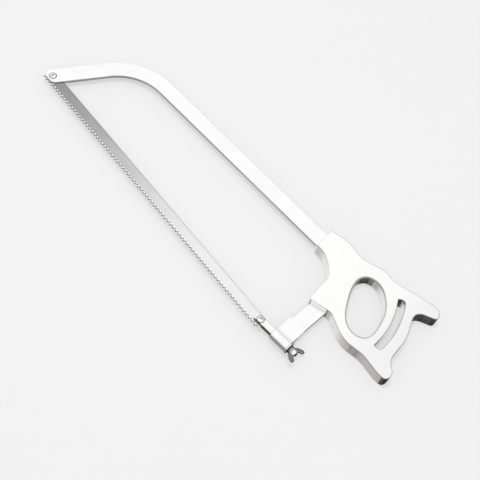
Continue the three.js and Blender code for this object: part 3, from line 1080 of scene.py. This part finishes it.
@dataclass
class Grip:
    """Closed handle cast round the rear bend of the bar, drawn from the rear corner of the bow."""

    plan: SawPlan
    thickness: float = 25
    edge: float = 1.8
    hole_edge: float = 4.5
    corner: float = 2.8
    front_top: Point = (-72, 4.2)
    top: tuple[Point, ...] = (
        (-60, 7.9), (-48, 10), (-36, 10.3), (-12, 7.2), (4, 11.4), (24, 17.6), (41, 16.4), (60, 20), (80, 26),
        (100, 31), (112, 33),
    )
    horn: tuple[Point, ...] = (
        (118.4, 43), (121.8, 39.4), (123.4, 35), (121.8, 31), (113, 26.2), (104.4, 21.6), (99.6, 15.5),
        (99.4, 8),
    )
    rear: tuple[Point, ...] = (
        (103.8, -1.9), (110.9, -15.5), (115.8, -31.1), (118.4, -50), (120.4, -60.5), (126, -69.3),
        (133.6, -74.6), (136.9, -79.6), (137.2, -86.4), (134, -91.4),
    )
    lower: tuple[Point, ...] = (
        (124, -92.8), (108, -91), (91, -89), (76, -90.8), (64, -92.3), (50, -90.4), (31, -82.8),
        (19, -78), (8, -79.9), (-3, -82.7),
    )
    leg_end: Point = (4.2, -86)
    throat: tuple[Point, ...] = (
        (6.5, -67), (9.5, -45), (12.5, -38), (18.5, -31), (27.5, -24), (38, -18.9), (46, -17),
    )
    front_low: Point = (57, -16.1)
    hand_hole: tuple[Point, ...] = (
        (8.8, -7), (12, -25), (21.4, -43.5), (33.4, -61.2), (47, -72), (62, -73.9), (74, -68),
        (78.2, -56.5), (70.2, -22.5), (57.5, -4.6), (42.5, 5.8), (28.5, 8.7), (15.2, 4.6),
    )
    slot_middle: Point = (90.3, -23)
    slot_radius: float = 134.7
    slot_lean: float = 17.7
    slot_length: float = 87.6
    slot_width: float = 11
    slot_outer_round: float = 6
    slot_inner_round: float = 1.5

    def _from_top(self, point: Point) -> Vector:
        """Place of a point that is given above the bar's outer edge."""
        return Vector((point[0], point[1] + self.plan.bar_width / 2))

    def _from_leg(self, point: Point) -> Vector:
        """Place of a point that is given in front of the rear leg's inner edge."""
        return Vector((-self.plan.bar_width / 2 - point[0], point[1]))

    def outline(self) -> Outline:
        """Outer outline of the casting."""
        top, throat = map(self._from_top, self.top), map(self._from_leg, self.throat)
        back = smooth_through([*top, *self.horn, *self.rear, *self.lower])
        return rounded([
            (self._from_top(self.front_top), self.corner),
            *((point, 0) for point in back),
            (self._from_leg(self.leg_end), self.corner),
            *((point, 0) for point in smooth_through([*throat])),
            (self._from_leg(self.front_low), self.corner),
        ])

    def crescent(self) -> Outline:
        """Outline of the crescent slot, an arc with square ends, rounder at their outer corners."""
        centre = Vector(self.slot_middle) - heading(self.slot_lean) * self.slot_radius
        span = self.slot_length / self.slot_radius
        low = heading(self.slot_lean - math.degrees(span / 2))
        half = self.slot_width / 2
        sides = []
        for offset, corner in ((half, self.slot_outer_round), (-half, self.slot_inner_round)):
            side = arc(centre + low * (self.slot_radius + offset), centre, span)
            sides.append([(side[0], corner), *((point, 0) for point in side[1:-1]), (side[-1], corner)])
        return rounded([*sides[0], *reversed(sides[1])])

    def tunnel(self) -> Bench:
        """Space that the bar takes up, less the keys that pass through the bar."""
        plan = self.plan
        half, reach = plan.bar_width / 2 + plan.fit_gap, 2 * plan.key_offset + plan.bar_width
        outline = rounded([
            (Vector((-reach, half)), 0),
            (Vector((half, half)), plan.rear_bend + half),
            (Vector((half, -reach)), 0),
            (Vector((-half, -reach)), 0),
            (Vector((-half, -half)), plan.rear_bend - half),
            (Vector((-reach, -half)), 0),
        ])
        places = (Vector((-plan.key_offset, 0)), Vector((0, -plan.key_offset)))
        keys = [(circle(place, plan.key_hole / 2 - plan.fit_gap), 0) for place in places]
        return Bench.plate("bar_tunnel", outline, plan.bar_thickness + 2 * plan.fit_gap, 0, keys)

    def build(self, stations: Stations, finish: MetalFinish) -> None:
        """Models the handle and dresses it.

        Args:
            stations: places in the frame.
            finish: finish of the casting.
        """
        hand_hole = smooth_through(self.hand_hole, closed=True)
        holes = [(hand_hole, self.hole_edge), (self.crescent(), self.edge)]
        casting = Bench.plate("closed_handle", self.outline(), self.thickness, self.edge, holes)
        dress(casting.combine(self.tunnel()).seat(stations.corner), "handle", Body.FRAME, finish)


@dataclass
class BarrelStrap:
    """Strap rolled into a barrel round the rod, with a tail on each face of the rear leg."""

    plan: SawPlan
    thickness: float = 2
    edge: float = 0.4
    reach: float = 32.4
    neck: float = 45

    def section(self) -> Outline:
        """Section across the rod, first value up the leg from the rod's axis, second across the leg."""
        plan = self.plan
        inside = plan.bar_thickness / 2 + plan.seat_gap
        outside = inside + self.thickness
        ring = plan.bore + self.thickness
        height = outside + self.neck
        hollow = Vector((math.sqrt((ring + self.neck) ** 2 - height**2), height))
        lean = math.atan2(hollow.y, hollow.x)
        start = hollow.normalized() * ring
        mouth = math.asin(inside / plan.bore)
        axis = Vector((0, 0))
        return [
            Vector((self.reach, inside)),
            Vector((self.reach, outside)),
            *arc(Vector((hollow.x, outside)), hollow, lean - QUARTER),
            *arc(start, axis, 2 * (math.pi - lean))[1:],
            *arc(flipped(start), flipped(hollow), lean - QUARTER)[1:],
            Vector((self.reach, -outside)),
            Vector((self.reach, -inside)),
            *arc(Vector((plan.bore * math.cos(mouth), -inside)), axis, 2 * (mouth - math.pi)),
        ]

    def build(self, stations: Stations, finish: MetalFinish) -> None:
        """Models the strap and dresses it.

        Args:
            stations: places in the frame.
            finish: finish of the strap.
        """
        across_rod = Matrix(((0, 0, 1), (1, 0, 0), (0, 1, 0))).to_4x4()
        strap = Bench.plate("rolled_barrel", self.section(), self.plan.barrel_length, self.edge)
        strap.place(Matrix.Translation((self.plan.barrel_reach, 0, 0)) @ across_rod)
        dress(strap.seat(stations.rod), "barrel_strap", Body.FRAME, finish)


@dataclass
class Blade:
    """Toothed blade with its teeth set to either side, pinned at both ends."""

    plan: SawPlan
    tips: float = 11.1
    pitch: float = 6.35
    depth: float = 3.2
    face: float = 1.6
    set_over: float = 0.35
    weld: float = 0.01
    end_facing: float = 0.99  # least X of an end face's normal

    def steel(self, stations: Stations) -> BladeSteel:
        """Finds the finish whose painted tooth highlights and shade fall on the modelled teeth.

        Args:
            stations: places in the frame.

        Returns:
            The finish.
        """
        pin = stations.nose.translation
        return BladeSteel(
            first_gullet=pin.x - self.plan.blade_nose * MILLIMETRE,
            pitch=self.pitch * MILLIMETRE,
            back=pin.y + self.plan.blade_back * MILLIMETRE,
            gullets=pin.y + (self.depth - self.tips) * MILLIMETRE,
            tips=pin.y - self.tips * MILLIMETRE,
        )

    def cell(self) -> Bench:
        """Two teeth and the blade above them, open at both ends."""
        gullet, back, pair = self.depth - self.tips, self.plan.blade_back, 2 * self.pitch
        corners = [(0, back), (0, gullet), (self.face, -self.tips), (self.pitch, gullet)]
        corners += [(self.pitch + self.face, -self.tips), (pair, gullet), (pair, back)]
        cell = Bench.plate("toothed_blade", [Vector(corner) for corner in corners], self.plan.blade_thickness)
        cell.pick(Part.FACES, lambda face: True)
        bpy.ops.mesh.bisect(plane_co=(0, gullet, 0), plane_no=(0, 1, 0))
        low = gullet - self.depth / 2
        for start, push in ((0, self.set_over), (self.pitch, -self.set_over)):
            cell.pick(Part.POINTS, lambda point: point.co.y < low and start < point.co.x < start + self.pitch)
            bpy.ops.transform.translate(value=(0, 0, push))
        cell.pick(Part.FACES, lambda face: abs(face.normal.x) > self.end_facing)
        bpy.ops.mesh.delete(type="ONLY_FACE")
        return cell

    def build(self, stations: Stations, finish: MetalFinish) -> None:
        """Models the blade and dresses it.

        Args:
            stations: places in the frame.
            finish: finish of the blade.
        """
        plan, pair = self.plan, 2 * self.pitch
        length = plan.blade_nose + plan.pin_spacing + plan.blade_overhang
        cells = int(length // pair)
        blade = self.cell().modify(
            "ARRAY",
            count=cells,
            use_relative_offset=False,
            use_constant_offset=True,
            constant_offset_displace=(pair, 0, 0),
            use_merge_vertices=True,
            merge_threshold=self.weld,
        )
        blade.pick(Part.POINTS, lambda point: True)
        bpy.ops.mesh.fill_holes(sides=0)
        blade.face_outwards()
        blade.pick(Part.FACES, lambda face: face.normal.x > self.end_facing)
        bpy.ops.mesh.extrude_region_move(TRANSFORM_OT_translate={"value": (length - cells * pair, 0, 0)})
        blade.place(Matrix.Translation((-plan.blade_nose, 0, 0)))
        slack = heading(plan.rod_tilt) * plan.rod_travel
        start = heading(plan.rod_tilt + 90) * plan.pin_hole
        long_hole = [*arc(start, Vector((0, 0)), math.pi), *arc(slack - start, slack, math.pi)]
        for hole in (long_hole, circle(Vector((plan.pin_spacing, 0)), plan.pin_hole)):
            blade.combine(Bench.plate("pin_hole", hole, plan.screw_shank))
        dress(blade.seat(stations.nose), "blade", Body.CARRIAGE, finish)


@dataclass
class PinSet:
    """Slotted screw and hexagon nut that pin one end of the blade."""

    plan: SawPlan
    end: str
    grip: float
    body: Body
    slot_turn: float
    head: float = 10
    head_height: float = 2.4
    dome: float = 1.9
    head_edge: float = 0.25
    slot_width: float = 1.6
    slot_depth: float = 1.3
    nut_width: float = 10
    nut_height: float = 4
    nut_corner: float = 1.002  # reach of the chamfer past the corners
    thread_rise: float = 2
    tail: float = 1
    tail_chamfer: float = 0.4

    def screw(self) -> Bench:
        """Domed screw with its driver slot and its thread past the nut."""
        shaft, rim, edge = self.plan.screw_shank / 2, self.head / 2, self.head_edge
        seat = self.grip / 2 + self.plan.seat_gap
        crown = seat + self.head_height
        low = -seat - self.nut_height
        curve = (rim**2 + self.dome**2) / (2 * self.dome)
        dome = arc(Vector((rim, crown - self.dome)), Vector((0, crown - curve)), math.asin(rim / curve))[:-1]
        screw = Bench.turned(f"{self.end}_pin_screw", [
            (shaft - self.tail_chamfer, low - self.tail),
            *self.plan.thread(low - self.tail + self.tail_chamfer, low + self.thread_rise, shaft),
            (shaft, seat),
            (rim - edge, seat),
            (rim, seat + edge),
            *((point.x, point.y) for point in dome),
        ])
        slot = Bench.block("driver_slot", (2 * self.head, self.slot_width, 2 * self.slot_depth), (0, 0, 0))
        slot.place(Matrix.Translation((0, 0, crown)) @ Matrix.Rotation(math.radians(self.slot_turn), 4, "Z"))
        return screw.combine(slot)

    def nut(self) -> Bench:
        """Hexagon nut with chamfered corners."""
        flat, top = self.nut_width / 2, -self.grip / 2 - self.plan.seat_gap
        sides = 6
        spoke, low = flat / math.cos(math.pi / sides), top - self.nut_height
        lost = (spoke - flat) * math.tan(math.pi / sides)
        nut = Bench.turned(f"{self.end}_pin_nut", [(spoke, low), (spoke, top)], sides=sides)
        nut.place(Matrix.Rotation(QUARTER, 4, "Z"))
        chamfer = [(flat, low), (spoke, low + lost), (spoke, top - lost), (flat, top)]
        wide = [(radius * self.nut_corner, height) for radius, height in chamfer]
        nut.combine(Bench.turned("chamfer", wide), Cut.KEEP)
        bore = self.plan.pin_hole
        return nut.combine(Bench.turned("bore", [(bore, low - CLEAR), (bore, top + CLEAR)]))

    def build(self, station: Matrix, finish: MetalFinish) -> None:
        """Models the screw and the nut and dresses them.

        Args:
            station: place of the pin in the frame.
            finish: finish of both.
        """
        dress(self.screw().seat(station), f"{self.end}_screw", self.body, finish)
        dress(self.nut().seat(station), f"{self.end}_nut", self.body, finish)


@dataclass
class TensionRod:
    """Square rod with a fork for the blade and a threaded stud for the wing nut."""

    plan: SawPlan
    fork_reach: float = 9
    fork_round: float = 2.5
    fork_relief: float = 5
    square_setback: float = 9
    stud_tail: float = 1.6
    stud_chamfer: float = 0.6

    def build(self, stations: Stations, finish: MetalFinish) -> None:
        """Models the rod and dresses it.

        Args:
            stations: places in the frame.
            finish: finish of the rod.
        """
        plan, half = self.plan, self.plan.rod_size / 2
        square_end = plan.barrel_end - self.square_setback
        rod = Bench.plate("forked_rod", rounded([
            (Vector((-self.fork_reach, -half)), self.fork_round),
            (Vector((square_end, -half)), 0),
            (Vector((square_end, half)), 0),
            (Vector((-self.fork_reach, half)), self.fork_round),
        ]), plan.rod_size, plan.rod_chamfer)
        tip, radius = plan.nut_seat + plan.hub_height + self.stud_tail, plan.stud_diameter / 2
        stud = Bench.turned("stud", [
            (radius, square_end - half),
            *plan.thread(square_end + plan.thread_pitch, tip - self.stud_chamfer, radius),
            (radius - self.stud_chamfer, tip),
        ])
        rod.combine(stud.place(Matrix.Rotation(QUARTER, 4, "Y")), Cut.JOIN)
        length = self.fork_reach + plan.blade_overhang + self.fork_relief
        middle = plan.blade_overhang + self.fork_relief - length
        rod.combine(Bench.block("fork_slot", (2 * length, 2 * plan.rod_size, plan.slit), (middle, 0, 0)))
        ends = (-plan.rod_size, plan.rod_size)
        rod.combine(Bench.turned("pin_hole", [(plan.pin_hole, end) for end in ends]))
        dress(rod.seat(stations.rod), "tension_rod", Body.CARRIAGE, finish)


@dataclass
class WingNutSet:
    """Washer on the barrel's rear end and the wing nut that bears on it."""

    plan: SawPlan
    washer_lip: float = 2.6
    washer_edge: float = 0.3
    hub_wall: float = 2.8
    hub_taper: float = 1.2
    hub_rim: float = 3
    hub_edge: float = 0.4
    wing_thickness: float = 3.4
    wing_edge: float = 1
    wing_turn: float = -20
    root: tuple[Point, ...] = ((1.8, 0.6), (10.2, 0.6))
    wing: tuple[Point, ...] = (
        (2.4, 2.8), (5.2, 6.4), (9.6, 10), (14, 11.6), (17.2, 11), (17.6, 8), (14.2, 5), (10.8, 2.8),
    )
    voxel: float = 0.22
    melt: int = 6
    melt_share: float = 0.5

    def washer(self) -> Bench:
        """Flat washer with broken edges."""
        bore, outer, edge = self.plan.stud_hole, self.plan.bore + self.washer_lip, self.washer_edge
        top = self.plan.washer_thickness
        return Bench.turned("seat_washer", [
            (bore, edge), (bore + edge, 0), (outer - edge, 0), (outer, edge),
            (outer, top - edge), (outer - edge, top), (bore + edge, top), (bore, top - edge),
        ], hollow=True)

    def nut(self) -> Bench:
        """Wing nut whose wings run smoothly into its hub."""
        bore, height, edge = self.plan.stud_hole, self.plan.hub_height, self.hub_edge
        hub = bore + self.hub_wall
        top = hub - self.hub_taper
        nut = Bench.turned("winged_nut", [
            (hub - edge, 0), (hub, edge), (hub, self.hub_rim), (top, height - edge), (top - edge, height),
        ])
        low, high = self.root
        outline = [Vector((bore + out, up)) for up, out in (low, *smooth_through(self.wing), high)]
        for turn in (0, math.pi):
            wing = Bench.plate("wing", outline, self.wing_thickness, self.wing_edge)
            wing.place(Matrix.Rotation(turn, 4, "Z") @ Matrix.Rotation(QUARTER, 4, "X"))
            nut.combine(wing, Cut.JOIN)
        nut.modify("REMESH", mode="VOXEL", voxel_size=self.voxel)
        nut.modify("SMOOTH", factor=self.melt_share, iterations=self.melt)
        return nut.combine(Bench.turned("bore", [(bore, -CLEAR), (bore, height + CLEAR)]))

    def build(self, stations: Stations, washer_finish: MetalFinish, nut_finish: MetalFinish) -> None:
        """Models the washer and the wing nut and dresses them.

        Args:
            stations: places in the frame.
            washer_finish: finish of the washer.
            nut_finish: finish of the wing nut.
        """
        along = Matrix.Rotation(QUARTER, 4, "Y")
        washer_seat = Matrix.Translation((self.plan.barrel_end + self.plan.fit_gap, 0, 0))
        washer = self.washer().place(washer_seat @ along)
        dress(washer.seat(stations.rod), "washer", Body.FRAME, washer_finish)
        turn = Matrix.Rotation(math.radians(self.wing_turn + 90), 4, "Z")
        nut = self.nut().place(Matrix.Translation((self.plan.nut_seat, 0, 0)) @ along @ turn)
        dress(nut.seat(stations.rod), "wing_nut", Body.WING_NUT, nut_finish)


@dataclass
class Studio:
    """Pale floor, soft studio light and the camera.

    The floor isn't mirrored. The saw's walls mirror the world's lower half, whose zones are given by the
    X and the Z of a ray.
    """

    floor_rings: tuple[Point, ...] = ((26, 0), (28, 0.4), (29.5, 1.6), (30, 4), (30, 9))  # metres, a dish
    floor_colour: Colour = (0.793, 0.793, 0.793)
    floor_patch: float = 0.985  # tone of its darker patches
    floor_scale: float = 3
    floor_glow: float = 0.68  # share of the floor's light that the saw doesn't shade
    overhead: float = 1.16
    overhead_rise: Point = (-0.05, 0.75)
    side: float = 0.3
    left_side: float = 0.95
    left_rise: Point = (-0.85, -0.4)
    upper_rise: Point = (-0.74, -0.6)
    under_reach: Point = (0.7, -0.8)  # X at the start and at the end of the tones
    under_tones: tuple[tuple[float, Colour], ...] = (
        (0.0, (0.45, 0.45, 0.45)),
        (0.1, (0.1, 0.1, 0.1)),
        (0.15, (0.025, 0.025, 0.025)),
        (0.22, (0.025, 0.025, 0.025)),
        (0.28, (0.2, 0.165, 0.125)),
        (0.4, (0.22, 0.18, 0.14)),
        (0.44, (0.58, 0.51, 0.505)),
        (0.57, (0.64, 0.58, 0.575)),
        (0.66, (0.72, 0.7, 0.68)),
        (0.75, (0.93, 0.92, 0.91)),
        (1.0, (1.0, 1.0, 1.0)),
    )
    leg_tone: Colour = (0.02, 0.02, 0.02)  # a zone's tone, then the X of its sides and the Z of its edge
    leg_across: tuple[Point, Point] = ((0.06, 0.1), (0.2, 0.24))
    leg_fall: Point = (-0.884, -0.876)
    hole_tone: Colour = (0.22, 0.18, 0.135)
    hole_across: tuple[Point, Point] = ((0.16, 0.22), (0.31, 0.37))
    hole_rise: Point = (-0.879, -0.871)
    bow_tone: Colour = (0.4, 0.4, 0.4)
    bow_across: tuple[Point, Point] = ((-0.26, -0.2), (-0.06, 0.02))
    bow_rise: Point = (-0.88, -0.862)
    nose_rise: Point = (-0.85, -0.835)
    nose_lift: float = 0.035
    nose_lift_rise: Point = (0.02, 0.15)
    lamp_place: Place = (-0.2, -0.1, 2.4)
    lamp_size: float = 0.5
    lamp_power: float = 22.0
    camera_place: Place = (0.4853, -0.6479, 1.3043)
    camera_aim: Place = (0.0545, -0.0445, 0.0133)
    camera_roll: float = 17.2534
    lens: float = 78.314

    def floor(self) -> None:
        """Lays the floor with its raised rim."""
        dish = Bench.turned("studio_floor", self.floor_rings)
        rim = self.floor_rings[-1][1]
        dish.pick(Part.FACES, lambda face: abs(face.center.z - rim) < TOUCH)
        bpy.ops.mesh.delete(type="FACE")
        bpy.ops.object.mode_set(mode="OBJECT")
        material, graph, place = fresh_material("pale_floor")
        patch = tuple(self.floor_patch * part for part in self.floor_colour)
        colour = graph.blend(graph.noise(place, self.floor_scale), patch, self.floor_colour)
        rays = ("Is Camera Ray", "Is Glossy Ray", "Is Transmission Ray")
        seen, mirrored, through = (graph.node("ShaderNodeLightPath", {}, {}, ray) for ray in rays)
        matt = graph.node("ShaderNodeBsdfDiffuse", {}, {"Color": colour})
        glow = graph.node("ShaderNodeEmission", {}, {"Color": colour})
        share = (seen + mirrored + through) * self.floor_glow
        shader = graph.node("ShaderNodeMixShader", {}, {"Fac": share, 1: matt, 2: glow})
        graph.node("ShaderNodeOutputMaterial", {}, {"Surface": shader})
        dish.piece.data.materials.append(material)
        dish.piece.visible_glossy = False

    def under(self, graph: ShadeGraph, x: Shade, z: Shade) -> Shade:
        """Tones of the lower half, which the walls mirror.

        Args:
            graph: graph of the world.
            x: X of a ray.
            z: Z of a ray.

        Returns:
            The colour.
        """
        start, end = self.under_reach
        share = (start - x) * (1 / (start - end))
        handle = graph.node("ShaderNodeValToRGB", {"stops": self.under_tones}, {"Fac": share})
        leg = (1 - z.step(*self.leg_fall)) * x.between(*self.leg_across)
        hole = z.step(*self.hole_rise) * x.between(*self.hole_across)
        bow = z.step(*self.bow_rise) * x.between(*self.bow_across)
        nose = (z - x.step(*self.nose_lift_rise) * self.nose_lift).step(*self.nose_rise)
        rear = graph.blend(hole, graph.blend(leg, handle, self.leg_tone), self.hole_tone)
        return graph.blend(nose, graph.blend(bow, rear, self.bow_tone), self.bow_tone)

    def world(self) -> None:
        """Surrounds the saw with a soft light overhead and the tones below."""
        world = bpy.data.worlds.new("studio")
        bpy.context.scene.world = world
        world.use_nodes = True
        graph = ShadeGraph(world.node_tree)
        ray = graph.node("ShaderNodeTexCoord", {}, {}, "Generated")
        x, z = graph.axis(ray, "X"), graph.axis(ray, "Z")
        side = self.left_side + x.step(*self.left_rise) * (self.side - self.left_side)
        upper = side + z.step(*self.overhead_rise) * (self.overhead - side)
        colour = graph.blend(z.step(*self.upper_rise), self.under(graph, x, z), upper)
        light = graph.node("ShaderNodeBackground", {}, {"Color": colour})
        graph.node("ShaderNodeOutputWorld", {}, {"Surface": light})

    def lamp(self) -> None:
        """Hangs a soft lamp over the saw, for the shadow on the floor."""
        bpy.ops.object.light_add(type="AREA", location=self.lamp_place)
        lamp = bpy.context.object
        lamp.data.shape = "DISK"
        lamp.data.size = self.lamp_size
        lamp.data.energy = self.lamp_power
        lamp.rotation_euler = (-Vector(self.lamp_place)).to_track_quat("-Z", "Y").to_euler()
        lamp.visible_glossy = False

    def camera(self) -> None:
        """Sets the camera up at the photograph's angle."""
        bpy.ops.object.camera_add(location=self.camera_place)
        camera = bpy.context.object
        back = (Vector(self.camera_place) - Vector(self.camera_aim)).normalized()
        level = Vector((0, 0, 1)).cross(back).normalized()
        turn = Matrix.Rotation(math.radians(self.camera_roll), 3, back)
        axes = Matrix((turn @ level, turn @ back.cross(level), back)).transposed()
        camera.matrix_world = Matrix.Translation(self.camera_place) @ axes.to_4x4()
        camera.data.lens = self.lens
        camera.data.dof.use_dof = False
        bpy.context.scene.camera = camera

    def build(self) -> None:
        """Sets up the whole studio."""
        self.floor()
        self.world()
        self.lamp()
        self.camera()
        bpy.context.scene.view_settings.view_transform = "Standard"


def main() -> None:
    """Builds the saw piece by piece, noting each piece's triangles, and sets up the studio."""
    logging.basicConfig(level=logging.INFO, format="%(name)s: %(message)s")
    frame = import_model()
    plan = SawPlan()
    stations = Stations.find(frame, plan)
    nose_pin, rear_pin = tuple(stations.nose.translation), tuple(stations.rod.translation)
    bar, plating = PolishedBar(nose_pin=nose_pin), PlatedHardware()
    nut_plating = NutPlating(rear_pin=rear_pin, tilt=plan.rod_tilt)
    blade = Blade(plan)
    FrameBar(plan).build(stations, bar)
    Grip(plan).build(stations, CastAluminium())
    BarrelStrap(plan).build(stations, bar)
    blade.build(stations, blade.steel(stations))
    PinSet(plan, "nose", plan.bar_thickness, Body.FRAME, slot_turn=100).build(stations.nose, plating)
    PinSet(plan, "rear", plan.rod_size, Body.CARRIAGE, slot_turn=20).build(stations.rod, plating)
    TensionRod(plan).build(stations, RodPlating(rear_pin=rear_pin))
    WingNutSet(plan).build(stations, plating, nut_plating)
    Studio().build()
    bpy.context.view_layer.update()


if __name__ == "__main__":
    main()
